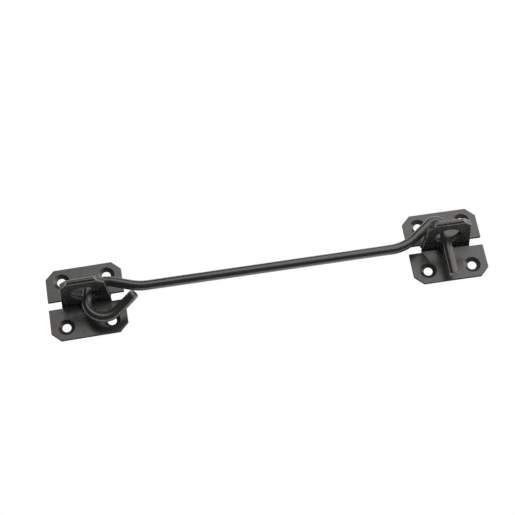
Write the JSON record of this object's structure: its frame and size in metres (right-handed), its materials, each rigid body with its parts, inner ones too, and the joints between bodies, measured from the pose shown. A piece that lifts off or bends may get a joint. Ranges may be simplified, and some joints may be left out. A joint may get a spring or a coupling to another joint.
{
  "type": "cabin hook",
  "caption": "Black cabin hook: a bent round rod swings from one folded eye plate, and its curled end hooks through the eye of a matching plate.",
  "frame": {"origin": "on the plates' undersides (z = 0), midway between the centres of the two plates", "axes": "+X from the catch plate to the pivot plate, along the rod; +Z out of the surface the plates screw to; the rod's stub and curl point to -Y"},
  "size_m": [0.2421, 0.0444, 0.0282],
  "materials": {
    "plate_coat": "satin black coating on folded sheet steel",
    "rod_coat": "satin black coating on bent steel rod"
  },
  "bodies": {
    "pivot_plate": {"pivot_plate": "plate_coat"},
    "hook_rod": {"hook_rod": "rod_coat"},
    "catch_plate": {"catch_plate": "plate_coat"}
  },
  "joints": [
    {"name": "hook_swing", "type": "hinge", "parent": "pivot_plate", "child": "hook_rod", "pos_m": [0.1, 0, 0.0149], "axis": [0, 0.9945, -0.1045], "range_deg": [0, 180]},
    {"name": "catch_swing", "type": "hinge", "parent": "hook_rod", "child": "catch_plate", "pos_m": [-0.1, 0, 0.0149], "axis": [0, 1, 0], "range_deg": [-14, 180]}
  ]
}
